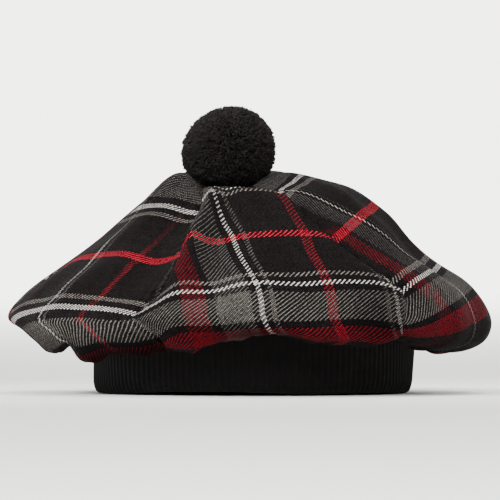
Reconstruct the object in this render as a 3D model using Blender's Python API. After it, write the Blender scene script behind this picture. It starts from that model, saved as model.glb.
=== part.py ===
"""Tam o shanter: six cloth gores over a ribbed headband, with a pompom of cut yarn on the tip.

Metres, +Z up. The hat stands on its headband on z = 0, the front faces -Y and the middle of the
whole hat is at x = y = 0. Azimuths are in degrees: 0 is the front, 90 is +X, and 180 the back.
"""

import math
import random

import bmesh
import bpy
import numpy as np
from mathutils import Vector
from mathutils.bvhtree import BVHTree

# Driving dimensions of the crown
CROWN_WIDTH = 0.2790
CROWN_DEPTH = 0.2720
CROWN_RISE = 0.0900  # from the top of the headband to the highest cloth
CLOTH = 0.0016
TIP_LEFT = 0.0120  # how far the tip lies to the left of the middle of the rim
TIP_FORWARD = 0.0180
TIP_RADIUS = 0.0030
TIP_UP = 0.862  # height of the cloth at the tip, as a share of CROWN_RISE
SEAM_SINK = 0.0024
SEAM_REACH = 0.0090
SEAM_FADES = (2.0, 3.0)  # stations over which a seam's sink fades at the tip and at the headband

# Driving dimensions of the headband
BAND_WIDTH = 0.1864
BAND_DEPTH = 0.1900
BAND_HEIGHT = 0.0400
BAND_WALL = 0.0040
BAND_RIGHT = 0.0030  # how far its middle lies to the right of the middle of the rim
RIB_PITCH = 0.0040
RIB_DEPTH = 0.0007
BAND_ROUND = 0.0014
BAND_TAPER = 0.0012  # how much narrower each side is at the foot
EDGE_COVERS = 0.7  # share of the headband's wall that the crown's edge lies on

# Driving dimensions of the pompom
POMPOM_WIDTH = 0.0550
POMPOM_HEIGHT = 0.0498
POMPOM_SINK = 0.0132  # how deep its lowest yarn would lie below the highest cloth
ROUND_ABOVE = 2.0  # power of the outline: 2 is an ellipse, and more is fuller
FULL_BELOW = 2.9
LOCKS_ACROSS = 5  # along each side of the cube that the ball is spread from
LOCK_DEPTH = 0.0026
LOCK_ROUND = 0.045  # share of the ball's radius
LOCK_STRAY = 0.035
LOCK_SEED = 7

# Clearance between pieces that touch
GAP = 0.0003
SEAT_GAP = 0.0006  # the pompom's coarse underside over the curved cloth

# Azimuths of the six seams, and the gore that starts at each
GORES = (
    # seam, columns, name
    (-30.0, 15, "gore_front"),
    (42.0, 10, "gore_front_right"),
    (99.6, 10, "gore_back_right"),
    (157.2, 10, "gore_back"),
    (214.8, 10, "gore_back_left"),
    (272.4, 11, "gore_front_left"),
)

# How far the two seams of the front gore swing from their azimuths, towards +X
SEAM_SWING = (
    # station, left_seam, right_seam
    (0.0, 0.0, -12.0),
    (2.0, 0.0, -18.0),
    (3.0, 2.5, -19.0),
    (4.0, 7.5, -11.0),
    (5.0, 10.5, -2.0),
    (6.0, 7.0, 3.0),
    (7.0, 0.5, -1.5),
    (8.0, 2.0, -2.5),
    (10.0, 2.0, 0.0),
    (13.0, 0.0, 0.0),
)

# Sections of the top of the crown, from the tip to the rim. The first four columns are the reach
# to each side, as a share of the way from the tip to the rim. The last four are the height there,
# as a share of CROWN_RISE above the headband.
TOP_SECTIONS = (
    # left, front, right, back, left_up, front_up, right_up, back_up
    (0.110, 0.120, 0.095, 0.095, 0.885, 0.872, 0.885, 0.890),
    (0.225, 0.230, 0.205, 0.210, 0.970, 0.885, 0.975, 1.000),
    (0.365, 0.410, 0.445, 0.390, 0.820, 0.850, 0.892, 0.945),
    (0.570, 0.610, 0.605, 0.585, 0.572, 0.650, 0.712, 0.735),
    (0.760, 0.800, 0.750, 0.765, 0.368, 0.445, 0.455, 0.490),
    (0.915, 0.940, 0.925, 0.920, 0.203, 0.255, 0.252, 0.255),
    (1.000, 1.000, 1.000, 1.000, 0.048, 0.080, 0.055, 0.040),
)

# Sections of the underside, from the rim to the headband. The first four columns are the reach,
# as a share of the way from the headband to the rim. The last four are shares of CROWN_RISE.
UNDER_SECTIONS = (
    # left, front, right, back, left_up, front_up, right_up, back_up
    (0.820, 0.950, 0.970, 0.930, -0.045, -0.010, -0.075, -0.070),
    (0.460, 0.740, 0.760, 0.680, -0.195, -0.072, -0.140, -0.140),
    (0.270, 0.400, 0.360, 0.360, -0.135, -0.092, -0.165, -0.145),
    (0.100, 0.150, 0.120, 0.150, -0.055, -0.040, -0.090, -0.070),
)

# Folds, ridges and dents of the cloth. Stations count the sections from the tip, and the lift is
# a share of CROWN_WIDTH, outwards.
FOLDS = (
    # first_station, last_station, azimuth_above, azimuth_below, half_width, lift
    (2.0, 7.2, -19.5, -17.5, 4.0, 0.022),
    (2.2, 7.2, -10.5, -8.5, 5.0, -0.015),
    (2.4, 7.4, -32.0, -33.0, 9.0, -0.026),
    (1.4, 3.8, -62.0, -66.0, 9.0, 0.012),
    (4.4, 8.6, 14.0, 20.0, 9.0, -0.008),
    (2.0, 5.6, 54.0, 58.0, 8.0, 0.010),
    (4.0, 8.6, 74.0, 70.0, 7.0, -0.010),
    (1.6, 6.2, 118.0, 122.0, 9.0, -0.014),
    (3.0, 8.4, 146.0, 140.0, 8.0, 0.011),
    (2.4, 8.0, 178.0, 183.0, 10.0, -0.013),
    (1.8, 6.8, 208.0, 203.0, 8.0, 0.010),
    (3.4, 8.6, 236.0, 240.0, 8.0, -0.012),
    (5.6, 9.4, 252.0, 250.0, 7.0, 0.009),
)

# How much lower the hanging edge of the crown lies round the hat, as a share of CROWN_RISE
HEM = (
    # azimuth, drop
    (-100.0, 0.000),
    (-78.0, -0.020),
    (-67.0, 0.015),
    (-56.0, 0.095),
    (-45.0, 0.045),
    (-32.0, 0.075),
    (-21.0, 0.075),
    (-10.0, 0.005),
    (4.0, -0.038),
    (17.0, 0.010),
    (32.0, 0.012),
    (48.0, -0.012),
    (63.0, 0.014),
    (82.0, 0.004),
    (104.0, 0.030),
    (124.0, -0.020),
    (147.0, 0.034),
    (170.0, -0.014),
    (193.0, 0.030),
    (214.0, -0.026),
    (236.0, 0.030),
)
HEM_STATION = 9.8
HEM_FADE = 2.2  # stations over which the drop fades to either side
FOLD_POWER = 1.3  # how quickly a fold runs out at its two ends

# Steps that the normals of the crown are taken over
TURN_STEP = 0.3  # degrees
STATION_STEP = 0.02

# Plain finishes: colour and roughness
TARTAN = ((0.12, 0.03, 0.03), 0.85)
RIB_KNIT = ((0.012, 0.012, 0.011), 0.90)
YARN = ((0.02, 0.018, 0.018), 0.95)
SHARP_ANGLE = 50  # degrees

# Places round a point of the pompom's underside where the cloth below it is felt for
SEAT_STEP = 0.0020
SEAT_AROUND = [(i * SEAT_STEP, j * SEAT_STEP) for i in (-1, 0, 1) for j in (-1, 0, 1)]

RIM_STATION = len(TOP_SECTIONS)
EDGE_STATION = RIM_STATION + len(UNDER_SECTIONS) + 1
LAST_STATION = EDGE_STATION + 1


def rim_sides():
    """Left, front, right and back of the rim."""
    return -CROWN_WIDTH / 2, -CROWN_DEPTH / 2, CROWN_WIDTH / 2, CROWN_DEPTH / 2


def band_sides(out):
    """Left, front, right and back of the headband's outer face, moved outwards by out."""
    across = BAND_WIDTH / 2 + out
    deep = BAND_DEPTH / 2 + out
    return BAND_RIGHT - across, -deep, BAND_RIGHT + across, deep


def crown_sections():
    """A row per station: left, front, right and back of the section, and the height at each."""
    tip = (-TIP_LEFT, -TIP_FORWARD, -TIP_LEFT, -TIP_FORWARD)
    tip_out = (-TIP_RADIUS, -TIP_RADIUS, TIP_RADIUS, TIP_RADIUS)
    rim = rim_sides()
    edge = band_sides(CLOTH / 2 + GAP)
    rows = [[tip[i] + tip_out[i] for i in range(4)] + [BAND_HEIGHT + TIP_UP * CROWN_RISE] * 4]
    for section in TOP_SECTIONS:
        sides = [tip[i] + section[i] * (rim[i] - tip[i]) for i in range(4)]
        rows.append(sides + [BAND_HEIGHT + up * CROWN_RISE for up in section[4:]])
    for section in UNDER_SECTIONS:
        sides = [edge[i] + section[i] * (rim[i] - edge[i]) for i in range(4)]
        rows.append(sides + [BAND_HEIGHT + up * CROWN_RISE for up in section[4:]])
    seated = BAND_HEIGHT + GAP
    rows.append(list(edge) + [seated] * 4)
    rows.append(list(band_sides(-EDGE_COVERS * BAND_WALL)) + [seated] * 4)
    return np.array(rows)


SECTIONS = crown_sections()


def smooth_section(station):
    """The section at any station, on a smooth curve through the rows."""
    first = min(int(station), LAST_STATION - 1)
    part = station - first
    before, here, after, beyond = (
        SECTIONS[min(max(first + step, 0), LAST_STATION)] for step in (-1, 0, 1, 2)
    )
    bend_here = (after - before) / 2
    bend_after = (beyond - here) / 2
    return (
        here * (1 + 2 * part) * (1 - part) ** 2
        + bend_here * part * (1 - part) ** 2
        + after * part**2 * (3 - 2 * part)
        + bend_after * part**2 * (part - 1)
    )


def angle_between(azimuth, other):
    return (azimuth - other + 180) % 360 - 180


def seam_azimuths(station):
    """The azimuths of the seams at a station, in the order of GORES."""
    stations, left_swing, right_swing = zip(*SEAM_SWING)
    swings = [np.interp(station, stations, swing) for swing in (left_swing, right_swing)]
    swings += [0.0] * (len(GORES) - 2)
    return [row[0] + swing for row, swing in zip(GORES, swings)]


def fold_lift(azimuth, station):
    """How far the folds raise the cloth here, in metres."""
    lift = 0.0
    for first, last, above, below, half_width, share in FOLDS:
        if first < station < last:
            part = (station - first) / (last - first)
            off = angle_between(azimuth, above + part * (below - above)) / half_width
            along = math.sin(math.pi * part) ** FOLD_POWER
            lift += share * CROWN_WIDTH * math.exp(-off * off) * along
    return lift


def hem_drop(azimuth, station):
    """How far the hanging edge lies below its section here, in metres."""
    off = (station - HEM_STATION) / HEM_FADE
    if abs(off) >= 1:
        return 0.0
    turn = (azimuth - HEM[0][0]) % 360
    places = [row[0] - HEM[0][0] for row in HEM] + [360.0]
    drops = [row[1] for row in HEM] + [HEM[0][1]]
    right = next(i for i in range(1, len(places)) if turn <= places[i])
    part = (turn - places[right - 1]) / (places[right] - places[right - 1])
    soft = part * part * (3 - 2 * part)
    share = drops[right - 1] + soft * (drops[right] - drops[right - 1])
    return share * CROWN_RISE * math.cos(off * math.pi / 2) ** 2


def plain_point(azimuth, station):
    """A point of the crown before folds and seams are added."""
    left, front, right, back, left_up, front_up, right_up, back_up = smooth_section(station)
    turn = math.radians(azimuth)
    sideways, forwards = math.sin(turn), math.cos(turn)
    x = (left + right) / 2 + (right - left) / 2 * sideways
    y = (front + back) / 2 - (back - front) / 2 * forwards
    side_up = right_up if sideways > 0 else left_up
    end_up = front_up if forwards > 0 else back_up
    z = side_up * sideways**2 + end_up * forwards**2
    return Vector((x, y, z - hem_drop(azimuth, station)))


def outward(point_at, azimuth, station):
    """The outward normal of a surface given by azimuth and station."""
    low, high = max(station - STATION_STEP, 0), min(station + STATION_STEP, LAST_STATION)
    across = point_at(azimuth + TURN_STEP, station) - point_at(azimuth - TURN_STEP, station)
    down = point_at(azimuth, high) - point_at(azimuth, low)
    return down.cross(across).normalized()


def seam_sink(azimuth, station):
    """How far the seams draw the cloth in here, in metres."""
    nearest = min(abs(angle_between(azimuth, seam)) for seam in seam_azimuths(station))
    section = smooth_section(station)
    away = math.radians(nearest) * (section[2] - section[0]) / 2 / SEAM_REACH
    ends = min(1.0, station / SEAM_FADES[0], (LAST_STATION - station) / SEAM_FADES[1])
    return SEAM_SINK * math.exp(-away * away) * ends


def crown_point(azimuth, station):
    """A point of the crown's outer face."""
    lift = fold_lift(azimuth, station) - seam_sink(azimuth, station)
    start = plain_point(azimuth, station)
    return start + lift * outward(plain_point, azimuth, station)


def gore_stations():
    """Mesh rows: two to a section, and one where the cloth is hidden or small."""
    rows = [0, 1]
    rows += [half / 2 for half in range(4, 2 * (EDGE_STATION - 1) + 1)]
    return rows + [EDGE_STATION, LAST_STATION]


def gore_azimuths(index, columns, station):
    """Azimuths across a gore, closer together by its seams, with half a gap at each."""
    section = smooth_section(station)
    half_gap = math.degrees(GAP / (section[2] - section[0]))
    seams = seam_azimuths(station)
    first = seams[index] + half_gap
    last = (seams + [seams[0] + 360])[index + 1] - half_gap
    steps = np.linspace(-1, 1, columns + 1)
    shares = (steps + np.sin(steps * math.pi / 2)) / 2
    return first + (last - first) * (shares + 1) / 2


def new_object(name, mesh_from, finish):
    """One named object with its own material, shaded smooth with its edges kept."""
    mesh = bpy.data.meshes.new(name)
    bmesh.ops.recalc_face_normals(mesh_from, faces=mesh_from.faces)
    mesh_from.to_mesh(mesh)
    mesh_from.free()
    mesh.shade_smooth()
    mesh.set_sharp_from_angle(angle=math.radians(SHARP_ANGLE))
    material = bpy.data.materials.new(name)
    material.use_nodes = True
    shader = material.node_tree.nodes["Principled BSDF"]
    colour, roughness = finish
    shader.inputs["Base Color"].default_value = (*colour, 1)
    shader.inputs["Roughness"].default_value = roughness
    shader.inputs["Metallic"].default_value = 0
    mesh.materials.append(material)
    made = bpy.data.objects.new(name, mesh)
    bpy.context.scene.collection.objects.link(made)
    return made


def grid_faces(mesh_from, rows):
    """Quads between neighbouring rows of vertices."""
    for above, below in zip(rows, rows[1:]):
        for i in range(len(above) - 1):
            mesh_from.faces.new((above[i], above[i + 1], below[i + 1], below[i]))


def make_gore(index, columns, name):
    """A petal of cloth: its outer face, its inner face and the edges between them."""
    shape = bmesh.new()
    outer_rows, inner_rows = [], []
    for station in gore_stations():
        outer, inner = [], []
        for azimuth in gore_azimuths(index, columns, station):
            point = crown_point(azimuth, station)
            outer.append(shape.verts.new(point))
            inner.append(shape.verts.new(point - CLOTH * outward(crown_point, azimuth, station)))
        outer_rows.append(outer)
        inner_rows.append(inner)
    grid_faces(shape, outer_rows)
    grid_faces(shape, inner_rows)
    grid_faces(shape, [outer_rows[0], inner_rows[0]])
    grid_faces(shape, [outer_rows[-1], inner_rows[-1]])
    for side in (0, -1):
        grid_faces(shape, [[row[side] for row in outer_rows], [row[side] for row in inner_rows]])
    return new_object(name, shape, TARTAN)


def make_headband():
    """A tube with a rib every RIB_PITCH round its outer face, and a flat foot."""
    perimeter = math.pi * (BAND_WIDTH + BAND_DEPTH) / 2
    columns = 2 * round(perimeter / RIB_PITCH)
    # height, outward of the outer face, share of the rib's depth
    profile = (
        (0, -BAND_TAPER - BAND_ROUND, 0),
        (BAND_ROUND, -BAND_TAPER, 1),
        (BAND_HEIGHT - BAND_ROUND, 0, 1),
        (BAND_HEIGHT, -BAND_ROUND, 0),
        (BAND_HEIGHT, -BAND_WALL, 0),
        (0, -BAND_TAPER - BAND_WALL, 0),
    )
    shape = bmesh.new()
    rings = []
    for height, out, rib in profile:
        ring = []
        for i in range(columns):
            turn = 2 * math.pi * i / columns
            face = out - (rib * RIB_DEPTH if i % 2 else 0)
            left, front, right, back = band_sides(face)
            x = (left + right) / 2 + (right - left) / 2 * math.sin(turn)
            y = (front + back) / 2 - (back - front) / 2 * math.cos(turn)
            ring.append(shape.verts.new((x, y, height)))
        rings.append(ring + ring[:1])
    grid_faces(shape, rings + rings[:1])
    return new_object("headband", shape, RIB_KNIT)


def pompom_reach(direction):
    """The pompom's outline in a direction, as a share of its half sizes: fuller below."""
    level = math.hypot(direction.x, direction.y)
    power = ROUND_ABOVE if direction.z > 0 else FULL_BELOW
    return (level**power + abs(direction.z) ** power) ** (-1 / power)


def top_of(cloth, x, y):
    """The height of the highest cloth at a place, or far below where there is none."""
    hits = [tree.ray_cast(Vector((x, y, 1)), Vector((0, 0, -1)))[0] for tree in cloth]
    return max((hit.z for hit in hits if hit), default=-1)


def make_pompom(gores):
    """A ball whose surface stands out in blunt locks of yarn, seated on the tip of the crown."""
    shape = bmesh.new()
    bmesh.ops.create_cube(shape, size=2)
    bmesh.ops.subdivide_edges(shape, edges=shape.edges, cuts=LOCKS_ACROSS - 1, use_grid_fill=True)
    random.seed(LOCK_SEED)
    for vertex in shape.verts:
        spread = Vector([math.tan(c * math.pi / 4) for c in vertex.co])
        stray = Vector([random.uniform(-1, 1) for _ in range(3)]) * LOCK_STRAY
        vertex.co = (spread.normalized() + stray).normalized()
    grooves = list(shape.verts)
    locks = bmesh.ops.inset_individual(shape, faces=shape.faces, thickness=LOCK_ROUND)["faces"]
    depth_at = {vertex: LOCK_DEPTH for vertex in grooves}
    for ring in locks:
        for vertex in ring.verts:
            depth_at.setdefault(vertex, 0)
    bottom = BAND_HEIGHT + CROWN_RISE - POMPOM_SINK
    middle = Vector((-TIP_LEFT, -TIP_FORWARD, bottom + POMPOM_HEIGHT / 2))
    graph = bpy.context.evaluated_depsgraph_get()
    cloth = [BVHTree.FromObject(gore, graph) for gore in gores]
    for vertex in shape.verts:
        direction = vertex.co.normalized()
        reach = pompom_reach(direction)
        across = reach * POMPOM_WIDTH / 2 - depth_at[vertex]
        up = reach * POMPOM_HEIGHT / 2 - depth_at[vertex]
        x, y = middle.x + direction.x * across, middle.y + direction.y * across
        seat = max(top_of(cloth, x + dx, y + dy) for dx, dy in SEAT_AROUND)
        vertex.co = (x, y, max(middle.z + direction.z * up, seat + SEAT_GAP))
    return new_object("pompom", shape, YARN)


def centre_on_floor(pieces):
    """Moves the meshes so that the middle of the hat is at x = y = 0 and its foot on z = 0."""
    corners = np.array([vertex.co for piece in pieces for vertex in piece.data.vertices])
    low, high = corners.min(axis=0), corners.max(axis=0)
    move = Vector((-(low[0] + high[0]) / 2, -(low[1] + high[1]) / 2, -low[2]))
    for piece in pieces:
        for vertex in piece.data.vertices:
            vertex.co += move


def make_hat():
    for old in list(bpy.data.objects):
        bpy.data.objects.remove(old)
    gores = [make_gore(i, columns, name) for i, (_, columns, name) in enumerate(GORES)]
    centre_on_floor(gores + [make_headband(), make_pompom(gores)])


make_hat()
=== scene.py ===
import math

import bmesh
import bpy
import numpy as np
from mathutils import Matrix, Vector


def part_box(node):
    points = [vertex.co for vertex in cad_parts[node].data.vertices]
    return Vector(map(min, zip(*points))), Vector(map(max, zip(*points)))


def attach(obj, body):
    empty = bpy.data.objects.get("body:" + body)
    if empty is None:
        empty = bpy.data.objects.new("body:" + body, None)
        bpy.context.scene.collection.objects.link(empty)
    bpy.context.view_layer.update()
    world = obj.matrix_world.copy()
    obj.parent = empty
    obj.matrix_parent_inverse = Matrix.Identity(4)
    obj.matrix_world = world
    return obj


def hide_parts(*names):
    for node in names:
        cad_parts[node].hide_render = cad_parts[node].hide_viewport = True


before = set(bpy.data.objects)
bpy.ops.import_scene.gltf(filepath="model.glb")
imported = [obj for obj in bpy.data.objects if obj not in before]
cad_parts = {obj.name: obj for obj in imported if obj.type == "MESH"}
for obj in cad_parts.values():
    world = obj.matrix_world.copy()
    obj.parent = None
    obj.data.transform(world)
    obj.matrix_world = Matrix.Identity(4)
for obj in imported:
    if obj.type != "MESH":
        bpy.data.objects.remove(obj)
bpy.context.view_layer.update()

print("frame loaded")


def linear(hexColour):  # sRGB to the linear colour that the sockets take
    channels = [int(hexColour[i:i + 2], 16) / 255 for i in (1, 3, 5)]
    return tuple(c / 12.92 if c <= 0.04045 else ((c + 0.055) / 1.055) ** 2.4 for c in channels) + (1.0,)


def addNode(tree, kind, inputs=None, **settings):
    made = tree.nodes.new(kind)
    for name, value in settings.items():
        setattr(made, name, value)
    for name, value in (inputs or {}).items():
        if isinstance(value, bpy.types.NodeSocket):
            tree.links.new(value, made.inputs[name])
        else:
            made.inputs[name].default_value = value
    return made


def calc(tree, operation, *values):
    return addNode(tree, "ShaderNodeMath", dict(enumerate(values)), operation=operation).outputs[0]


def calcVector(tree, operation, *values, **named):
    inputs = dict(enumerate(values)) | named
    return addNode(tree, "ShaderNodeVectorMath", inputs, operation=operation).outputs[0]


def mixColour(tree, factor, first, second):
    return addNode(tree, "ShaderNodeMix", {0: factor, 6: first, 7: second}, data_type="RGBA").outputs[2]


def mixValue(tree, factor, first, second):
    return addNode(tree, "ShaderNodeMix", {0: factor, 2: first, 3: second}, data_type="FLOAT").outputs[0]


def noise(tree, place, scale, detail, output=0):
    made = addNode(tree, "ShaderNodeTexNoise", {"Vector": place, "Scale": scale, "Detail": detail})
    return made.outputs[output]


def attribute(tree, name):
    return addNode(tree, "ShaderNodeAttribute", attribute_name=name).outputs["Fac"]


def newMaterial(name):
    material = bpy.data.materials.new(name)
    material.use_nodes = True
    return material, material.node_tree, material.node_tree.nodes["Principled BSDF"]


def finishShader(tree, shader, colour, relief, finish):
    tree.links.new(colour, shader.inputs["Base Color"])
    pressed = {"Height": relief, "Strength": finish["bump"], "Distance": finish["relief"]}
    bump = addNode(tree, "ShaderNodeBump", pressed)
    tree.links.new(bump.outputs[0], shader.inputs["Normal"])
    shader.inputs["Roughness"].default_value = finish["roughness"]
    shader.inputs["Specular IOR Level"].default_value = finish["specular"]
    shader.inputs["Sheen Weight"].default_value = finish["sheen"]
    shader.inputs["Sheen Roughness"].default_value = finish["sheenRoughness"]


def linkObject(name, data):
    made = bpy.data.objects.new(name, data)
    bpy.context.scene.collection.objects.link(made)
    return made


def meshObject(name, verts, faces, material):
    mesh = bpy.data.meshes.new(name)
    mesh.from_pydata([tuple(v) for v in verts], [], [tuple(int(i) for i in f) for f in faces])
    mesh.update()
    mesh.materials.append(material)
    mesh.shade_smooth()
    return linkObject(name, mesh)


def setValues(mesh, label, values):  # one number for each point, for a material to read
    layer = mesh.attributes.new(label, "FLOAT", "POINT")
    layer.data.foreach_set("value", values.reshape(-1).astype(np.float32))


def setCloth(mesh, uv):  # flat cloth in metres, a pair for each corner of each face
    mesh.uv_layers.new(name="cloth").data.foreach_set("uv", np.asarray(uv, np.float32).reshape(-1))


def runAlong(points):  # distance along rows of points, from the first of each row
    steps = np.linalg.norm(np.diff(points, axis=-2), axis=-1)
    return np.concatenate([np.zeros(steps.shape[:-1] + (1,)), np.cumsum(steps, axis=-1)], axis=-1)


uneven = {"shortest": 0.7, "longest": 1.4, "height": 0.9}


def soften(points, seed, count, length):
    # smooth seeded unevenness: sines in fixed random directions, about -1 to 1
    rng = np.random.default_rng(seed)
    total = 0
    for _ in range(count):
        way = rng.normal(size=3)
        stretch = rng.uniform(uneven["shortest"], uneven["longest"])
        way = way / np.linalg.norm(way) * 2 * math.pi / (length * stretch)
        total = total + np.sin(points @ way + rng.uniform(0, 2 * math.pi))
    return total / math.sqrt(count) * uneven["height"]


# the camera of the photo: nearly level, far off, a long lens
view = {"mmPerPixel": 0.578, "pixels": 500, "distance": 6.0, "elevation": 0.3, "aimHeight": 0.0827, "clip": 50}
cameraData = bpy.data.cameras.new("camera")
camera = linkObject("camera", cameraData)
tilt = math.radians(view["elevation"])
up, back = view["distance"] * math.sin(tilt), view["distance"] * math.cos(tilt)
camera.location = (0, -back, view["aimHeight"] + up)
camera.rotation_euler = (math.pi / 2 - tilt, 0, 0)
widthSeen = view["mmPerPixel"] * view["pixels"]
cameraData.lens = cameraData.sensor_width * view["distance"] * 1000 / widthSeen
cameraData.clip_end = view["clip"]
bpy.context.scene.camera = camera
print("camera made")


# brushed wool-like twill: threads 0.6 to 0.7 mm wide in a two-up two-down weave, so the check
# breaks into diagonal dashes where two colours cross, under a dull brushed nap
twill = {
    "warpThread": 0.715, "weftThread": 0.59,  # mm
    # threads in the weave's repeat, and the place in it up to which a lengthwise thread lies on top
    "repeat": 4.0, "lastUp": 1.5,
    "wander": 0.00035, "wanderScale": 420.0,  # how far a thread strays, metres
    "warpShadeColour": "#121010",  # painted shade: the near black that a lengthwise thread is darkened towards
    "fibreScale": 1900.0, "fibreTone": 0.9, "fibreLeast": 0.55, "fibreRelief": 0.5,
    "floatHighlight": 3.0, "floatEndShade": 0.10, "floatPower": 4.0,  # painted highlight and shade: a float is painted bright in the middle of its length and dark where it dips at its ends
    "floatRise": 0.6, "floatEnds": 0.4,
    "dyeTone": 0.4, "dyeLeast": 0.2, "spunTone": 1.2,
    "dyeSeedWeft": 1.37, "dyeSeedWarp": 0.41,
    "palest": (0.88, 0.87, 0.85),
    "bump": 0.55, "relief": 0.0003, "roughness": 0.92, "specular": 0.02, "sheen": 0.004, "sheenRoughness": 0.5,
    "reach": 130.0,
    "stripes": (
        # distance from the middle of the red line in mm, colour from there on
        (0.0, "#9a1728"),
        (2.1, "#171313"),
        (31.0, "#615c57"),
        (34.0, "#171313"),
        (37.1, "#cbc5bd"),
        (40.3, "#171313"),
        (44.3, "#524f4b"),
        (63.0, "#171313"),
        (68.4, "#620b17"),
        (82.0, "#171313"),
    ),
}


def stripeColour(tree, index, thread):
    at = calc(tree, "ABSOLUTE", calc(tree, "MULTIPLY", calc(tree, "ADD", index, 0.5), thread))
    ramp = addNode(tree, "ShaderNodeValToRGB", {0: calc(tree, "DIVIDE", at, twill["reach"])})
    ramp.color_ramp.interpolation = "CONSTANT"
    stops = ramp.color_ramp.elements
    while len(stops) < len(twill["stripes"]):
        stops.new(1.0)
    for stop, (start, colour) in zip(stops, twill["stripes"]):
        stop.position = start / twill["reach"]
        stop.color = linear(colour)
    return ramp.outputs[0]


def makeTwill():
    material, tree, shader = newMaterial("brushed tartan twill")
    uv = addNode(tree, "ShaderNodeUVMap", uv_map="cloth").outputs[0]
    # threads wander a little, as spun yarn does
    wander = noise(tree, uv, twill["wanderScale"], 1.0, "Color")
    sway = calcVector(tree, "SUBTRACT", wander, (0.5, 0.5, 0.5))
    place = calcVector(tree, "ADD", uv, calcVector(tree, "SCALE", sway, Scale=twill["wander"]))
    split = addNode(tree, "ShaderNodeSeparateXYZ", {0: place}).outputs
    across = calc(tree, "MULTIPLY", split[0], 1000 / twill["warpThread"])
    down = calc(tree, "MULTIPLY", split[1], 1000 / twill["weftThread"])
    warpIndex, weftIndex = calc(tree, "FLOOR", across), calc(tree, "FLOOR", down)
    acrossPart, downPart = calc(tree, "FRACT", across), calc(tree, "FRACT", down)
    step = calc(tree, "FLOORED_MODULO", calc(tree, "ADD", warpIndex, weftIndex), twill["repeat"])
    warpUp = calc(tree, "LESS_THAN", step, twill["lastUp"])
    weftColour = stripeColour(tree, weftIndex, twill["weftThread"])
    warpColour = stripeColour(tree, warpIndex, twill["warpThread"])
    # painted shade: the lengthwise threads are darkened towards a near black, as the light catches them less
    # than the crosswise threads, so they show less, in places hardly at all
    shadedWarp = mixColour(tree, attribute(tree, "warpLitShare"), linear(twill["warpShadeColour"]), warpColour)
    woven = mixColour(tree, warpUp, weftColour, shadedWarp)
    # each thread has its own depth of dye, and the fibres along it vary
    weftSeed = calc(tree, "MULTIPLY", weftIndex, twill["dyeSeedWeft"])
    warpSeed = calc(tree, "ADD", warpIndex, twill["dyeSeedWarp"])
    threadSeed = mixValue(tree, warpUp, weftSeed, warpSeed)
    dye = addNode(tree, "ShaderNodeTexWhiteNoise", {"W": threadSeed}, noise_dimensions="1D").outputs[0]
    crossing = addNode(tree, "ShaderNodeCombineXYZ", {0: warpIndex, 1: weftIndex}).outputs[0]
    spun = addNode(tree, "ShaderNodeTexWhiteNoise", {"Vector": crossing}, noise_dimensions="2D").outputs[0]
    fibre = noise(tree, uv, twill["fibreScale"], 2.0)
    # the float of a thread is round across and dips at both ends
    side = mixValue(tree, warpUp, downPart, acrossPart)
    past = calc(tree, "ADD", step, mixValue(tree, warpUp, acrossPart, downPart))
    along = calc(tree, "FRACT", calc(tree, "DIVIDE", past, twill["repeat"] / 2))
    roundSide = calc(tree, "SINE", calc(tree, "MULTIPLY", side, math.pi))
    roundAlong = calc(tree, "SINE", calc(tree, "MULTIPLY", along, math.pi))
    rise = calc(tree, "MULTIPLY_ADD", roundAlong, twill["floatRise"], twill["floatEnds"])
    height = calc(tree, "MULTIPLY", roundSide, rise)
    # painted shade and highlight: the colour is darkened where a float dips at its ends and sides and
    # brightened in its middle
    shade = calc(tree, "MULTIPLY", roundSide, calc(tree, "POWER", roundAlong, twill["floatPower"]))
    shade = calc(tree, "MULTIPLY_ADD", shade, twill["floatHighlight"], twill["floatEndShade"])
    dyed = calc(tree, "MULTIPLY_ADD", dye, twill["dyeTone"], twill["dyeLeast"])
    shade = calc(tree, "MULTIPLY", shade, calc(tree, "MULTIPLY_ADD", spun, twill["spunTone"], dyed))
    fibreTone = calc(tree, "MULTIPLY_ADD", fibre, twill["fibreTone"], twill["fibreLeast"])
    shade = calc(tree, "MULTIPLY", shade, fibreTone)
    # painted shade and light: the tone is darker or paler in listed patches of each gore, where shade or light
    # falls on it
    shade = calc(tree, "MULTIPLY", shade, attribute(tree, "paintedShading"))
    # no fibre is paler than bleached wool
    colour = calcVector(tree, "MINIMUM", calcVector(tree, "SCALE", woven, Scale=shade), twill["palest"])
    relief = calc(tree, "MULTIPLY_ADD", fibre, twill["fibreRelief"], height)
    finishShader(tree, shader, colour, relief, twill)
    return material


# soft black rib knit: chevron stitches in every wale, dull black with painted shade in the furrows
knit = {
    "wale": 2.0, "course": 1.5,  # mm
    "lean": 1.6,  # how steeply the two sides of a stitch rise
    "colour": "#131110", "furrowShadeAndWear": "#090808",
    "fibreScale": 2200.0, "wearScale": 60.0, "loopRelief": 0.5, "loopShade": 0.2, "tone": 0.7,
    "bump": 0.5, "relief": 0.0003, "roughness": 0.92, "specular": 0.12, "sheen": 0.02, "sheenRoughness": 0.5,
}


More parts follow.
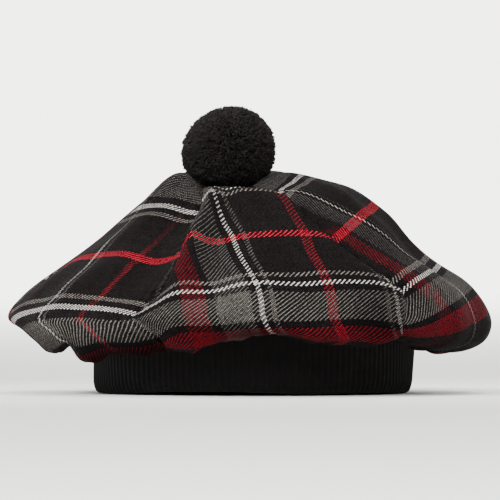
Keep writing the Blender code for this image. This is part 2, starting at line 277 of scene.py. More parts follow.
def makeKnit():
    material, tree, shader = newMaterial("soft black rib knit")
    uv = addNode(tree, "ShaderNodeUVMap", uv_map="cloth").outputs[0]
    split = addNode(tree, "ShaderNodeSeparateXYZ", {0: uv}).outputs
    across = calc(tree, "FRACT", calc(tree, "MULTIPLY", split[0], 1000 / knit["wale"]))
    fromMiddle = calc(tree, "ABSOLUTE", calc(tree, "SUBTRACT", across, 0.5))
    down = calc(tree, "MULTIPLY", split[1], 1000 / knit["course"])
    stitch = calc(tree, "MULTIPLY_ADD", fromMiddle, knit["lean"], down)
    loop = calc(tree, "SINE", calc(tree, "MULTIPLY", stitch, 2 * math.pi))
    fibre = noise(tree, uv, knit["fibreScale"], 2.0)
    wear = noise(tree, uv, knit["wearScale"], 2.0)
    # painted shade: the colour darkens towards the furrow colour between loops, and also varies with the wear
    tone = calc(tree, "MULTIPLY", calc(tree, "MULTIPLY_ADD", loop, knit["loopShade"], wear), knit["tone"])
    colour = mixColour(tree, tone, linear(knit["furrowShadeAndWear"]), linear(knit["colour"]))
    finishShader(tree, shader, colour, calc(tree, "MULTIPLY_ADD", loop, knit["loopRelief"], fibre), knit)
    return material


# black cut yarn: each end has its own tone, paler at its tip where light catches the fibres
yarn = {
    "dark": "#060505", "light": "#221d1c", "fibreScale": 900.0, "fibreTone": 1.2, "fibreLeast": 0.4,
    "bump": 0.6, "relief": 0.0003, "roughness": 0.8, "specular": 0.15, "sheen": 0.03, "sheenRoughness": 0.4,
}


def makeYarn():
    material, tree, shader = newMaterial("black cut yarn")
    place = addNode(tree, "ShaderNodeTexCoord").outputs["Object"]
    fibre = noise(tree, place, yarn["fibreScale"], 2.0)
    fibreTone = calc(tree, "MULTIPLY_ADD", fibre, yarn["fibreTone"], yarn["fibreLeast"])
    # painted shade and light: the tone darkens the roots and hollows of the ends and pales their tips
    tone = calc(tree, "MULTIPLY", attribute(tree, "tone"), fibreTone)
    colour = mixColour(tree, tone, linear(yarn["dark"]), linear(yarn["light"]))
    finishShader(tree, shader, colour, fibre, yarn)
    return material


twillMaterial, knitMaterial, yarnMaterial = makeTwill(), makeKnit(), makeYarn()
print("materials made")


# the crown has the same sections, seams and hem as the frame, at a finer step, and nearly the same
# folds: the ridge at the front and the valley beside it are up to 0.8 mm stronger here. Stations
# count the sections from the tip, and azimuths are in degrees from the front, towards the right
crown = {
    "width": 0.2790, "depth": 0.2720, "rise": 0.0900, "cloth": 0.0016,
    "tipLeft": 0.0120, "tipForward": 0.0180, "tipRadius": 0.0030, "tipUp": 0.862,
    "edgeCovers": 0.7,  # share of the headband's wall that the crown's edge lies on
    "seamSink": 0.0024, "seamReach": 0.0090, "seamFades": (2.0, 3.0), "gap": 0.0003,
    "pinch": 0.0011, "pinchReach": 0.0020,
    "allowance": (0.0010, 0.0035), "allowanceFade": 1.5, "allowanceLeast": 0.05,
    "hemStation": 9.8, "hemFade": 2.2, "foldPower": 1.3,
    "rows": 132, "columns": 84, "pathSteps": 1301, "pathTurn": 30.0,
    "turnStep": 0.3, "stationStep": 0.02,  # what the normals are taken over
    "halfGore": 28.8,  # from a hidden gore's seam to its middle
    "bow": 0.55,  # how far the crosswise lines of the check bow, as a share of a circle round the tip
}
# small signs of sewn cloth: puckers along the seams and soft lumps
puckers = {"height": 0.0005, "reach": 0.0070, "seed": 5, "count": 9, "length": 0.009}
lumps = {"height": 0.0006, "seed": 3, "count": 8, "length": 0.034}
# gathers at the headband: stations where they start and end, and waves round the hat
gathers = {
    "height": 0.0008, "start": 8.6, "rise": 2.0, "end": 12.2, "fall": 0.8,
    "waves": 47, "sway": 1.7, "swayWaves": 5, "fineWaves": 71, "fineShare": 0.5,
}
band = {
    "width": 0.1864, "depth": 0.1900, "height": 0.0400, "wall": 0.0040, "right": 0.0030, "taper": 0.0012,
    "ribs": 148, "perRib": 6, "ribDepth": 0.0005, "innerRib": 0.6, "edgeRib": 0.3,
    "round": 0.0019, "innerTop": 0.3, "footFrom": 0.15, "rimFrom": 0.2,
    "innerRows": 8, "footRows": 9, "outerRows": 20, "rimRows": 5,
    "curl": 0.0034, "curlHeight": 0.0085,
    "sag": 0.0006, "sagWaves": 3, "sagStart": 0.6, "ripple": 0.00036, "rippleWaves": 7, "rippleTwist": 90,
    "foot": (
        # azimuth, how far the foot lifts off there
        (-180, 0.0006), (-110, 0.0), (-66, 0.0), (-36, 0.0019), (-8, 0.0023),
        (20, 0.0008), (52, 0.0011), (84, 0.0), (130, 0.0), (180, 0.0006),
    ),
}
gores = (
    # azimuth of the seam that it starts at, name
    (-30.0, "gore_front"),
    (42.0, "gore_front_right"),
    (99.6, "gore_back_right"),
    (157.2, "gore_back"),
    (214.8, "gore_back_left"),
    (272.4, "gore_front_left"),
)
topSections = (
    # reach from the tip to the rim: left, front, right, back, then the height at each, all as shares
    (0.110, 0.120, 0.095, 0.095, 0.885, 0.872, 0.885, 0.890),
    (0.225, 0.230, 0.205, 0.210, 0.970, 0.885, 0.975, 1.000),
    (0.365, 0.410, 0.445, 0.390, 0.820, 0.850, 0.892, 0.945),
    (0.570, 0.610, 0.605, 0.585, 0.572, 0.650, 0.712, 0.735),
    (0.760, 0.800, 0.750, 0.765, 0.368, 0.445, 0.455, 0.490),
    (0.915, 0.940, 0.925, 0.920, 0.203, 0.255, 0.252, 0.255),
    (1.000, 1.000, 1.000, 1.000, 0.048, 0.080, 0.055, 0.040),
)
underSections = (
    # reach from the headband to the rim: left, front, right, back, then the height at each
    (0.820, 0.950, 0.970, 0.930, -0.045, -0.010, -0.075, -0.070),
    (0.460, 0.740, 0.760, 0.680, -0.195, -0.072, -0.140, -0.140),
    (0.270, 0.400, 0.360, 0.360, -0.135, -0.092, -0.165, -0.145),
    (0.100, 0.150, 0.120, 0.150, -0.055, -0.040, -0.090, -0.070),
)
lastStation = len(topSections) + len(underSections) + 2
folds = (
    # first and last station, azimuth above and below, half width, lift as a share of the width
    (2.0, 7.2, -19.5, -17.5, 4.0, 0.024),
    (2.2, 7.2, -10.5, -8.5, 5.0, -0.018),
    (2.4, 7.4, -32.0, -33.0, 9.0, -0.026),
    (1.4, 3.8, -62.0, -66.0, 9.0, 0.012),
    (4.4, 8.6, 14.0, 20.0, 9.0, -0.008),
    (2.0, 5.6, 54.0, 58.0, 8.0, 0.010),
    (4.0, 8.6, 74.0, 70.0, 7.0, -0.010),
    (1.6, 6.2, 118.0, 122.0, 9.0, -0.014),
    (3.0, 8.4, 146.0, 140.0, 8.0, 0.011),
    (2.4, 8.0, 178.0, 183.0, 10.0, -0.013),
    (1.8, 6.8, 208.0, 203.0, 8.0, 0.010),
    (3.4, 8.6, 236.0, 240.0, 8.0, -0.012),
    (5.6, 9.4, 252.0, 250.0, 7.0, 0.009),
)
hem = (
    # azimuth, drop of the hanging edge as a share of the rise
    (-100, 0.000), (-78, -0.020), (-67, 0.015), (-56, 0.095), (-45, 0.045), (-32, 0.075), (-21, 0.075),
    (-10, 0.005), (4, -0.038), (17, 0.010), (32, 0.012), (48, -0.012), (63, 0.014), (82, 0.004),
    (104, 0.030), (124, -0.020), (147, 0.034), (170, -0.014), (193, 0.030), (214, -0.026), (236, 0.030),
)
seamSwing = np.array((
    # station, swing of the two seams that show
    (0, 0, -12), (2, 0, -18), (3, 2.5, -19), (4, 7.5, -11), (5, 10.5, -2),
    (6, 7, 3), (7, 0.5, -1.5), (8, 2, -2.5), (10, 2, 0), (13, 0, 0),
))
tucks = (
    # small tucks in the rim's underside: middle and half width in mm from the left end of the rim,
    # first station, stations to rise over, lift
    (36.0, 4.0, 7.5, 1.6, 0.0062),
    (22.0, 3.0, 7.4, 1.2, -0.0012),
)
tucksEnd = {"end": 12.5, "fall": 1.5}  # the station where all tucks have run out


def bandSides(out):  # left, front, right and back of the headband's outer face, moved outwards
    across, deep = band["width"] / 2 + out, band["depth"] / 2 + out
    return np.array([band["right"] - across, -deep, band["right"] + across, deep])


def heights(shares):
    return [band["height"] + share * crown["rise"] for share in shares]


def makeSections():
    tip = np.array([-crown["tipLeft"], -crown["tipForward"]] * 2)
    rim = np.array([-crown["width"], -crown["depth"], crown["width"], crown["depth"]]) / 2
    edge = bandSides(crown["cloth"] / 2 + crown["gap"])
    seated = [band["height"] + crown["gap"]] * 4
    rows = [[*(tip + crown["tipRadius"] * np.array([-1, -1, 1, 1])), *heights([crown["tipUp"]] * 4)]]
    for section in topSections:
        rows.append([*(tip + section[:4] * (rim - tip)), *heights(section[4:])])
    for section in underSections:
        rows.append([*(edge + section[:4] * (rim - edge)), *heights(section[4:])])
    rows += [[*edge, *seated], [*bandSides(-crown["edgeCovers"] * band["wall"]), *seated]]
    return np.array(rows)


sections = makeSections()


def smoothSection(station):  # the section at any station, on a smooth curve through the rows
    first = np.minimum(station.astype(int), lastStation - 1)
    part = (station - first)[..., None]
    before, here, after, beyond = (sections[np.clip(first + step, 0, lastStation)] for step in (-1, 0, 1, 2))
    return (
        here * (1 + 2 * part) * (1 - part) ** 2 + (after - before) / 2 * part * (1 - part) ** 2
        + after * part ** 2 * (3 - 2 * part) + (beyond - here) / 2 * part ** 2 * (part - 1)
    )


def angleBetween(azimuth, other):
    return (azimuth - other + 180) % 360 - 180


def seamsAt(station):
    swings = [np.interp(station, seamSwing[:, 0], seamSwing[:, side]) for side in (1, 2)]
    swings += [0 * station] * (len(gores) - len(swings))
    return [start + swing for (start, _), swing in zip(gores, swings)]


def foldLift(azimuth, station):
    lift = 0 * azimuth
    for first, last, above, below, halfWidth, share in folds:
        part = np.clip((station - first) / (last - first), 0, 1)
        off = angleBetween(azimuth, above + part * (below - above)) / halfWidth
        along = np.sin(math.pi * part) ** crown["foldPower"]
        lift = lift + share * crown["width"] * np.exp(-off * off) * along
    return lift


def hemDrop(azimuth, station):
    places = np.array([row[0] - hem[0][0] for row in hem] + [360.0])
    drops = np.array([row[1] for row in hem] + [hem[0][1]])
    turn = (azimuth - hem[0][0]) % 360
    right = np.clip(np.searchsorted(places, turn), 1, len(places) - 1)
    part = (turn - places[right - 1]) / (places[right] - places[right - 1])
    share = drops[right - 1] + part * part * (3 - 2 * part) * (drops[right] - drops[right - 1])
    off = np.clip((station - crown["hemStation"]) / crown["hemFade"], -1, 1)
    return share * crown["rise"] * np.cos(off * math.pi / 2) ** 2


def plainPoint(azimuth, station):  # the crown before folds and seams are added
    left, front, right, back, leftUp, frontUp, rightUp, backUp = np.moveaxis(smoothSection(station), -1, 0)
    sideways, forwards = np.sin(np.radians(azimuth)), np.cos(np.radians(azimuth))
    x = (left + right) / 2 + (right - left) / 2 * sideways
    y = (front + back) / 2 - (back - front) / 2 * forwards
    sideUp, endUp = np.where(sideways > 0, rightUp, leftUp), np.where(forwards > 0, frontUp, backUp)
    z = sideUp * sideways ** 2 + endUp * forwards ** 2
    return np.stack([x, y, z - hemDrop(azimuth, station)], -1)


def outward(pointAt, azimuth, station):
    turn, step = crown["turnStep"], crown["stationStep"]
    low, high = np.maximum(station - step, 0), np.minimum(station + step, lastStation)
    across = pointAt(azimuth + turn, station) - pointAt(azimuth - turn, station)
    normal = np.cross(pointAt(azimuth, high) - pointAt(azimuth, low), across)
    return normal / np.linalg.norm(normal, axis=-1, keepdims=True)


def seamDistance(azimuth, station):
    nearest = np.min([np.abs(angleBetween(azimuth, seam)) for seam in seamsAt(station)], axis=0)
    section = smoothSection(station)
    return np.radians(nearest) * (section[..., 2] - section[..., 0]) / 2


def bell(away, reach):
    return np.exp(-(away / reach) ** 2)


def between(station, start, rise, end, fall):  # fades in from start and out to end
    return np.clip((station - start) / rise, 0, 1) * np.clip((end - station) / fall, 0, 1)


def bumps(points, kind):
    return kind["height"] * soften(points, kind["seed"], kind["count"], kind["length"])


def gatherLift(azimuth, station):
    turn = np.radians(azimuth)
    swayed = gathers["waves"] * turn + gathers["sway"] * np.sin(gathers["swayWaves"] * turn)
    waves = np.sin(swayed) + gathers["fineShare"] * np.sin(gathers["fineWaves"] * turn)
    near = between(station, gathers["start"], gathers["rise"], gathers["end"], gathers["fall"])
    return gathers["height"] * near * waves


def clothPoint(azimuth, station):
    away = seamDistance(azimuth, station)
    fades = crown["seamFades"]
    ends = np.minimum(1, np.minimum(station / fades[0], (lastStation - station) / fades[1]))
    sink = crown["seamSink"] * bell(away, crown["seamReach"]) + crown["pinch"] * bell(away, crown["pinchReach"])
    start = plainPoint(azimuth, station)
    small = bell(away, puckers["reach"]) * bumps(start, puckers) + bumps(start, lumps)
    lift = foldLift(azimuth, station) + (small - sink) * ends + gatherLift(azimuth, station)
    made = start + lift[..., None] * outward(plainPoint, azimuth, station)
    for middle, halfWidth, first, rise, up in tucks:
        off = made[..., 0] * 1000 + crown["width"] * 500 - middle
        made[..., 2] += up * bell(off, halfWidth) * between(station, first, rise, **tucksEnd)
    return made


# the middle of the hat lies over the origin, as in the frame
bandLow, bandHigh = np.array(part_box("headband"))
centring = np.array([(bandLow[0] + bandHigh[0]) / 2 - band["right"], (bandLow[1] + bandHigh[1]) / 2, 0])

hiddenCut = {
    "lean": 0.05,
    "lines": (-38.7, 0.0),
    "places": ((0, -6, 33.5), (200, -6, 33.5)),
    "crosswise": ((46, -38.7), (93, 0), (132, 38.7), (170, 77), (208, 115.3)),
    "warpLitAt": (-77, 0),
    "warpLitShare": ((0, 0.42, 0.42), (220, 0.42, 0.42)),
}
cuts = {
    "gore_front": {
        "middle": 6.0,
        "lean": 0.10,
        "lines": (-38.7, 0.0),
        "places": (
            (40, -30, 11), (60, -25.4, 16), (92, -15.5, 26.5),
            (120, -9.5, 32), (147, -6.2, 35.1), (220, -6.2, 35.1),
        ),
        "crosswise": ((42, -38.7), (93, 0), (130.6, 38.7), (168.5, 77), (206, 115.3)),
        "pulls": (
            (-42, 9, 45, 140, 6.0), (-27, 8, 45, 140, 4.0),
            (18, 24, 95, 215, -3.2), (-60, 19, 125, 250, 12.0),
        ),
        "warpLitAt": (-77, -50, -38.7, -28, 0),
        "warpLitShare": (
            (40, 0.40, 0.40, 0.42, 0.30, 0.22),
            (110, 0.62, 0.62, 0.60, 0.36, 0.30),
            (220, 0.62, 0.62, 0.50, 0.38, 0.34),
        ),
        # patches of painted shade and light: across, reach across, down, reach down, change of tone
        "paintedShading": (
            (62, 20, 158, 26, -0.50), (-52, 22, 162, 10, -0.28),
            (-16, 20, 168, 9, -0.74), (-27, 12, 98, 24, -0.24),
        ),
    },
    "gore_front_right": {
        "middle": 70.8,
        "lean": 0.19,
        "lines": (-77.0, -38.7),
        "places": (
            (60, -66, -42), (94, -58, -34), (126, -48, -18), (145, -45, -6),
            (161, -44, 1), (190, -40, -2), (220, -40, -2),
        ),
        "crosswise": ((46, -38.7), (91.5, 0), (142.3, 38.7), (179, 77), (217, 115.3)),
        "warpLitAt": (-77, -66, -60, -41, -36, -30, 0),
        "warpLitShare": (
            (40, 0.02, 0.02, 0.34, 0.44, 0.44, 0.05, 0.02),
            (101, 0.02, 0.02, 0.34, 0.44, 0.44, 0.05, 0.02),
            (107, 0.60, 0.60, 0.34, 0.40, 0.40, 0.05, 0.02),
            (165, 0.60, 0.60, 0.26, 0.30, 0.36, 0.05, 0.02),
            (176, 0.35, 0.35, 0.08, 0.12, 0.30, 0.03, 0.02),
            (196, 0.12, 0.12, 0.03, 0.04, 0.08, 0.02, 0.02),
        ),
        "paintedShading": ((0, 60, 36, 24, -0.45), (-58, 20, 165, 14, -0.28)),
    },
    "gore_front_left": {
        "middle": 301.2,
        "lean": 0.09,
        "lines": (-38.7, 0.0),
        "places": ((60, -6, 30), (88, -2.8, 33.5), (115, 4, 38), (140, 7, 42), (158, -3, 34), (220, -3, 34)),
        "crosswise": ((30, -61), (61.5, -38.7), (104, 0), (147.3, 38.7), (195, 77), (229, 112)),
        "warpLitAt": (-77, -43, -40, -31, -28, -1.7, -1.2, 1.2, 1.7),
        "warpLitShare": (
            (40, 0.03, 0.06, 0.10, 0.10, 0.02, 0.00, 0.00, 0.00, 0.00),
            (85, 0.03, 0.06, 0.26, 0.26, 0.04, 0.00, 0.10, 0.10, 0.00),
            (112, 0.05, 0.10, 0.50, 0.50, 0.10, 0.04, 0.46, 0.46, 0.04),
            (150, 0.05, 0.12, 0.50, 0.46, 0.12, 0.04, 0.30, 0.30, 0.04),
            (168, 0.05, 0.12, 0.50, 0.46, 0.12, 0.10, 0.50, 0.50, 0.10),
            (220, 0.05, 0.10, 0.30, 0.30, 0.10, 0.10, 0.30, 0.30, 0.10),
        ),
        "paintedShading": ((0, 60, 44, 24, -0.42), (10, 60, 160, 12, 0.62), (40, 80, 193, 17, -0.95)),
    },
}


def checkPlaces(cut, across, down):
    # where a place on the gore, in mm across and down it, lies in the flat check
    places, crosswise = np.array(cut["places"]), np.array(cut["crosswise"])
    first, second = (np.interp(down, places[:, 0], places[:, line]) for line in (1, 2))
    start, end = cut["lines"]
    u = start + (across - first) / (second - first) * (end - start)
    bowed = down - crown["bow"] * across ** 2 / (2 * down) + cut["lean"] * across
    for at, reach, top, foot, pull in cut.get("pulls", ()):
        part = np.clip((down - top) / (foot - top), 0, 1)
        bowed = bowed + pull * bell(across - at, reach) * np.sin(math.pi * part) ** 2
    v = np.interp(bowed, crosswise[:, 0], crosswise[:, 1])
    # past the two ends of the table the check goes on evenly
    return u, v + np.minimum(bowed - crosswise[0, 0], 0) + np.maximum(bowed - crosswise[-1, 0], 0)


# painted shade: the share of each lengthwise stripe's own colour that shows, given for each stripe and depth
# down the gore
def litWarpShare(cut, u, down):
    levels = np.array(cut["warpLitShare"])
    atLevels = np.array([np.interp(u, cut["warpLitAt"], level) for level in levels[:, 1:]])
    reached = np.clip(np.interp(down, levels[:, 0], np.arange(len(levels))), 0, len(levels) - 1.001)
    level = reached.astype(int)
    lower, upper = (np.take_along_axis(atLevels, (level + step)[None], 0)[0] for step in (0, 1))
    return lower + (upper - lower) * (reached - level)


# painted shade and light: patches across and down a gore, each darkening or paling the tone
def paintedShadingTone(cut, across, down):
    tone = np.ones_like(across)
    for at, reach, far, fade, change in cut.get("paintedShading", ()):
        tone = tone + change * bell(across - at, reach) * bell(down - far, fade)
    return tone


def clothCoordinates(index, name, azimuth, station, points):
    cut = cuts.get(name, hiddenCut)
    middle = cut.get("middle", gores[index][0] + crown["halfGore"])
    run = runAlong(points)
    turned = len(crown["allowance"])  # columns at each side that are turned in
    inner = slice(turned, -turned)
    centre = np.array([np.interp(middle, *row) for row in zip(azimuth[:, inner], run[:, inner])])
    across = (run - centre[:, None]) * 1000
    line = plainPoint(np.full(len(points), middle), station[:, 0])
    down = 1000 * (crown["tipRadius"] + runAlong(line))
    down = np.repeat(down[:, None], points.shape[1], 1)
    u, v = checkPlaces(cut, across, down)
    return u / 1000, v / 1000, litWarpShare(cut, u, down), paintedShadingTone(cut, across, down)


def gridFaces(rows, columns):
    return [
        (r * columns + c, (r + 1) * columns + c, (r + 1) * columns + c + 1, r * columns + c + 1)
        for r in range(rows - 1) for c in range(columns - 1)
    ]


def goreGrid(index):
    # rows at even distances down the gore, columns closer together by the seams
    fine = np.linspace(0, lastStation, crown["pathSteps"])
    length = runAlong(plainPoint(np.full(fine.shape, gores[index][0] + crown["pathTurn"]), fine))
    stations = np.interp(np.linspace(0, length[-1], crown["rows"]), length, fine)
    section = smoothSection(stations)
    halfGap = np.degrees(crown["gap"] / 2 / (section[:, 2] - section[:, 0]))
    seams = seamsAt(stations)
    first = seams[index] + halfGap
    last = (seams + [seams[0] + 360])[index + 1] - halfGap
    steps = np.linspace(-1, 1, crown["columns"] + 1)
    shares = ((steps + np.sin(steps * math.pi / 2)) / 2 + 1) / 2
    azimuth = first[:, None] + (last - first)[:, None] * shares[None, :]
    return azimuth, np.repeat(stations[:, None], azimuth.shape[1], 1)


def widened(grid):  # a grid with its side columns repeated for the seam allowance
    return np.concatenate([grid[:, [0, 0]], grid, grid[:, [-1, -1]]], axis=1)


def makeGore(index, name):
    azimuth, station = goreGrid(index)
    points = clothPoint(azimuth, station)
    # the seam allowance turns in at both sides
    normals = outward(clothPoint, azimuth, station)
    fromEnds = np.minimum(station[:, 0], lastStation - 1 - station[:, 0]) / crown["allowanceFade"]
    depth = np.clip(fromEnds, crown["allowanceLeast"], 1)[:, None, None]
    left, right = (
        [points[:, [side]] - depth * deep * normals[:, [side]] for deep in crown["allowance"]]
        for side in (0, -1)
    )
    points = np.concatenate([*left[::-1], points, *right], axis=1)
    azimuth, station = widened(azimuth), widened(station)
    u, v, warpLitShare, paintedShading = clothCoordinates(index, name, azimuth, station, points)
    faces = gridFaces(*azimuth.shape)
    made = meshObject("cloth_" + name, (points + centring).reshape(-1, 3), faces, twillMaterial)
    setCloth(made.data, np.stack([u, v], -1).reshape(-1, 2)[np.array(faces).reshape(-1)])
    # painted shade on the lengthwise threads
    setValues(made.data, "warpLitShare", warpLitShare)
    setValues(made.data, "paintedShading", paintedShading)
    thick = made.modifiers.new("thickness", "SOLIDIFY")
    thick.thickness = crown["cloth"]
    thick.offset = -1
    return made


for index, (_, name) in enumerate(gores):
    made = makeGore(index, name)
    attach(made, "root")
    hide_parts(name)
    print(name, "made")


def bandProfile():
    # outwards, up and share of the ribs' depth: down the inside, round the foot, up the outside
    # and in over the top
    r, top, edge = band["round"], band["height"], band["edgeRib"]
    straight = top - 2 * r
    inner = [
        (-band["wall"], top - r * band["innerTop"] - straight * i / band["innerRows"], band["innerRib"])
        for i in range(band["innerRows"] + 1)
    ]
    foot = [
        (-r - r * math.cos(a), r - r * math.sin(a), edge + (1 - edge) * abs(math.cos(a)))
        for a in np.linspace(band["footFrom"], math.pi - band["footFrom"], band["footRows"])
    ]
    outer = [(0.0, r + straight * i / band["outerRows"], 1.0) for i in range(band["outerRows"] + 1)]
    rim = [
        (-r + r * math.cos(a), top - r + r * math.sin(a), edge + (1 - edge) * abs(math.cos(a)))
        for a in np.linspace(band["rimFrom"], math.pi / 2, band["rimRows"])
    ]
    return inner + foot + outer + rim


def bandRing(turn, out, up, share):
    below = 1 - up / band["height"]  # 0 at the top and 1 at the foot
    rib = 0.5 - 0.5 * np.cos(turn * band["ribs"])
    raised = np.interp((np.degrees(turn) + 180) % 360 - 180, *np.transpose(band["foot"]))
    sag = band["sag"] * np.sin(band["sagWaves"] * turn + band["sagStart"]) * below
    sag = sag + band["ripple"] * np.sin(band["rippleWaves"] * turn + up * band["rippleTwist"])
    curl = band["curl"] * (1 - math.sqrt(1 - max(0, 1 - up / band["curlHeight"]) ** 2))
    lift = out - band["taper"] * below + sag - curl - share * band["ribDepth"] * rib
    left, front, right, back = bandSides(0)
    x = (left + right) / 2 + ((right - left) / 2 + lift) * np.sin(turn)
    y = -((back - front) / 2 + lift) * np.cos(turn)
    return np.stack([x, y, max(up, 0.0) + raised * below], -1) + centring


def faceOutwards(made):
    shape = bmesh.new()
    shape.from_mesh(made.data)
    bmesh.ops.recalc_face_normals(shape, faces=shape.faces)
    shape.to_mesh(made.data)
    shape.free()
    made.data.shade_smooth()


def makeHeadband():
    columns = band["ribs"] * band["perRib"]
    turn = np.linspace(0, 2 * math.pi, columns, endpoint=False)
    profile = bandProfile()
    rings = [bandRing(turn, *row) for row in profile]
    rows = len(rings)
    faces = [
        (
            r * columns + c, (r + 1) % rows * columns + c,
            (r + 1) % rows * columns + (c + 1) % columns, r * columns + (c + 1) % columns,
        )
        for r in range(rows) for c in range(columns)
    ]
    made = meshObject("knit_headband", np.concatenate(rings), faces, knitMaterial)
    perColumn = math.pi * (band["width"] + band["depth"]) / 2 / columns
    height = runAlong(np.array([row[:2] for row in profile + profile[:1]]))
    setCloth(made.data, [
        (perColumn * (c + aside), height[r + below])
        for r in range(rows) for c in range(columns) for aside, below in ((0, 0), (0, 1), (1, 1), (1, 0))
    ])
    faceOutwards(made)
    return made


headband = makeHeadband()
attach(headband, "root")
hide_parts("headband")
print("headband made")


# thousands of cut yarn ends round a core
pompom = {
    "width": 0.0550, "height": 0.0498, "sink": 0.0132, "powerAbove": 2.0, "powerBelow": 2.5,
    "flat": 0.085, "pressedFrom": (-0.72, -0.1, 0.69), "pressPower": 3,
    "ends": 9600, "sides": 4, "yarn": 0.00052, "yarnRange": (0.75, 1.25), "cap": 0.0002, "seed": 11,
    "length": 0.0070, "lengthRange": (0.85, 1.1), "lean": 0.22, "bend": 0.0007, "spread": 0.02, "twist": 1.5,
    "inside": 0.0005, "stray": 0.0004, "strayRange": (-0.0006, 0.0018),
    "toneRange": (0.1, 0.8), "coreInside": 0.0052, "coreSteps": 4,
    # share of an end's length, of its width and of its tone, which is painted shade at the root and painted
    # light at the tip
    "rings": ((0.0, 0.8, 0.1), (0.7, 1.0, 0.6), (1.0, 0.6, 1.0)),
}
# the tufts' tone is painted shade: it darkens the ends sunk in the hollows between tufts
tufts = {"seed": 8, "count": 10, "length": 0.006, "height": 0.0003, "tone": 0.22, "toneMiddle": 0.4}


def unit(ways):
    return ways / np.linalg.norm(ways, axis=1, keepdims=True)


def pompomPoint(way, inside):
    level = np.hypot(way[:, 0], way[:, 1])
    power = np.where(way[:, 2] > 0, pompom["powerAbove"], pompom["powerBelow"])
    reach = (level ** power + np.abs(way[:, 2]) ** power) ** (-1 / power)
    # pressed a little flat at the upper left, as in the photo
    press = np.clip(way @ np.array(pompom["pressedFrom"]), 0, 1) ** pompom["pressPower"]
    reach = reach * (1 - pompom["flat"] * press)
    up = band["height"] + crown["rise"] - pompom["sink"] + pompom["height"] / 2
    middle = np.array([-crown["tipLeft"], -crown["tipForward"], up])
    size = np.array([pompom["width"], pompom["width"], pompom["height"]]) / 2
    return middle + centring + way * (reach[:, None] * size - inside[:, None])


def spreadWays(count):  # evenly round a ball
    place = np.arange(count) + 0.5
    up = 1 - 2 * place / count
    turn = math.pi * (1 + 5 ** 0.5) * place
    level = np.sqrt(1 - up * up)
    return np.stack([level * np.cos(turn), level * np.sin(turn), up], -1)


def endFaces(count, sides, rings):  # quads between the rings of each end, and a fan over its tip
    perEnd = len(rings) * sides + 1
    quads = [
        (r * sides + s, r * sides + (s + 1) % sides, (r + 1) * sides + (s + 1) % sides, (r + 1) * sides + s)
        for r in range(len(rings) - 1) for s in range(sides)
    ]
    top = (len(rings) - 1) * sides
    fan = [(top + s, top + (s + 1) % sides, perEnd - 1) for s in range(sides)]
    return [
        tuple(i + e * perEnd for i in face)
        for shape in (quads, fan) for e in range(count) for face in shape
    ]


def makePompom():
    rng = np.random.default_rng(pompom["seed"])
    count, sides, rings = pompom["ends"], pompom["sides"], pompom["rings"]
    way = spreadWays(count)
    way = unit(way + rng.normal(0, pompom["spread"], way.shape))
    tuft = soften(way * pompom["width"] / 2, tufts["seed"], tufts["count"], tufts["length"])
    inside = rng.normal(pompom["inside"], pompom["stray"], count).clip(*pompom["strayRange"])
    tip = pompomPoint(way, inside + tufts["height"] * tuft)
    axis = unit(way + rng.normal(0, pompom["lean"], way.shape))
    root = tip - axis * (pompom["length"] * rng.uniform(*pompom["lengthRange"], (count, 1)))
    bend = rng.normal(0, pompom["bend"], way.shape)
    radius = pompom["yarn"] * rng.uniform(*pompom["yarnRange"], count)
    # painted shade: ends whose tips sink between tufts are darker
    tone = rng.uniform(*pompom["toneRange"], count) + tufts["tone"] * (tufts["toneMiddle"] - tuft)
    aside = unit(np.cross(axis, [[0.31, 0.52, 0.79]]))  # any way that isn't an end's own
    other = np.cross(axis, aside)
    verts, tones = [], []
    for part, size, shade in rings:
        middle = root + (tip - root) * part + bend * math.sin(math.pi * part)
        for s in range(sides):
            a = 2 * math.pi * s / sides + part * pompom["twist"]
            verts.append(middle + (aside * math.cos(a) + other * math.sin(a)) * (radius * size)[:, None])
            tones.append(tone * shade)
    verts.append(tip + axis * pompom["cap"])
    tones.append(tone)
    faces = endFaces(count, sides, rings)
    made = meshObject("yarn_pompom", np.stack(verts, 1).reshape(-1, 3), faces, yarnMaterial)
    setValues(made.data, "tone", np.stack(tones, 1))
    return made


def makeCore():  # what the roots of the yarn hide
    shape = bmesh.new()
    bmesh.ops.create_icosphere(shape, subdivisions=pompom["coreSteps"], radius=1)
    ways = unit(np.array([vert.co for vert in shape.verts]))
    for vert, place in zip(shape.verts, pompomPoint(ways, np.full(len(ways), pompom["coreInside"]))):
        vert.co = Vector(place)
    mesh = bpy.data.meshes.new("yarn_core")
    shape.to_mesh(mesh)
    shape.free()
    mesh.materials.append(yarnMaterial)
    mesh.shade_smooth()
    return linkObject("yarn_core", mesh)


yarnBall = makePompom()
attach(yarnBall, "root")
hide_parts("pompom")

yarnCore = makeCore()
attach(yarnCore, "root")
print("pompom made")


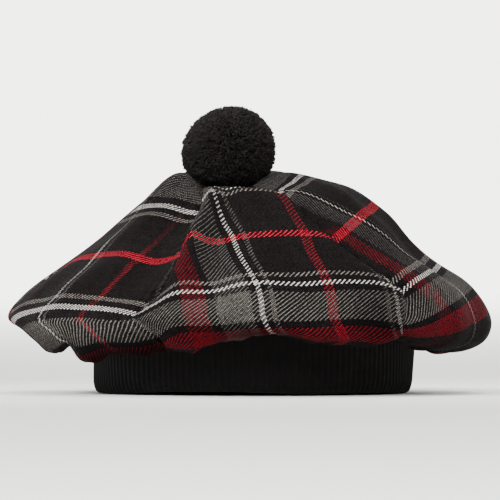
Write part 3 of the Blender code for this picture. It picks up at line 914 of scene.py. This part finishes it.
# matt pale backdrop paper: a floor that sweeps up behind, with a faint grain and no gloss
studio = {
    "paper": "#efeeeb", "grain": "#f2f1ee", "grainScale": 4.0, "roughness": 0.95,
    "halfWidth": 12.0, "near": -12.0, "middle": -0.5, "far": 9.0, "curve": 2.0, "curveSteps": 12, "top": 7.0,
    "world": 0.69,
    "spots": (
        # name, power, softness, cone in degrees, place, target
        ("key", 400, 0.22, 15, (-1.9, -1.3, 2.0), (0, 0.02, 0.10)),
        ("top", 150, 0.25, 18, (0.3, 0.6, 2.2), (0, 0, 0.10)),
    ),
    "lamps": (
        # name, size, power, place, target, colour
        ("side", 0.9, 11, (-2.3, -1.0, 0.55), (0, 0, 0.06), "#e4ecff"),
        ("fill", 1.2, 2, (1.6, -1.8, 1.1), (0, 0, 0.08), "#ffffff"),
        ("floor", 2.6, 255, (0, -3.4, 2.4), (0, -3.0, 0), "#ffffff"),
        ("backdrop left", 2.5, 860, (-3.0, 5.0, 4.4), (0, 9.0, 0.6), "#ffffff"),
        ("backdrop right", 2.5, 860, (3.0, 5.0, 4.4), (0, 9.0, 0.6), "#ffffff"),
    ),
}


def makeBackdrop():
    material, tree, shader = newMaterial("matt pale backdrop paper")
    place = addNode(tree, "ShaderNodeTexCoord").outputs["Object"]
    grain = noise(tree, place, studio["grainScale"], 3.0)
    colour = mixColour(tree, grain, linear(studio["paper"]), linear(studio["grain"]))
    tree.links.new(colour, shader.inputs["Base Color"])
    shader.inputs["Roughness"].default_value = studio["roughness"]
    curve, steps = studio["curve"], studio["curveSteps"]
    start = studio["far"] - curve
    path = [(studio["near"], 0.0), (studio["middle"], 0.0), (start, 0.0)]
    for i in range(1, steps + 1):
        a = math.pi / 2 * i / steps
        path.append((start + curve * math.sin(a), curve * (1 - math.cos(a))))
    path.append((studio["far"], studio["top"]))
    verts = [(x, y, z) for y, z in path for x in (-studio["halfWidth"], studio["halfWidth"])]
    faces = [(2 * i, 2 * i + 1, 2 * i + 3, 2 * i + 2) for i in range(len(path) - 1)]
    made = meshObject("backdrop", verts, faces, material)


def makeWorld():
    world = bpy.data.worlds.new("studio")
    bpy.context.scene.world = world
    world.use_nodes = True
    background = world.node_tree.nodes["Background"]
    background.inputs["Color"].default_value = (1, 1, 1, 1)
    background.inputs["Strength"].default_value = studio["world"]


def placeLamp(name, data, place, target):
    lamp = linkObject(name, data)
    lamp.location = place
    lamp.rotation_euler = (Vector(target) - Vector(place)).to_track_quat("-Z", "Y").to_euler()


def makeLamps():
    for name, power, softness, cone, place, target in studio["spots"]:
        data = bpy.data.lights.new(name, "SPOT")
        data.energy, data.shadow_soft_size = power, softness
        data.spot_size, data.spot_blend = math.radians(cone), 1.0
        placeLamp(name, data, place, target)
    for name, size, power, place, target, colour in studio["lamps"]:
        data = bpy.data.lights.new(name, "AREA")
        data.shape, data.size, data.energy, data.color = "SQUARE", size, power, linear(colour)[:3]
        placeLamp(name, data, place, target)


makeBackdrop()
makeWorld()
makeLamps()
print("studio made")
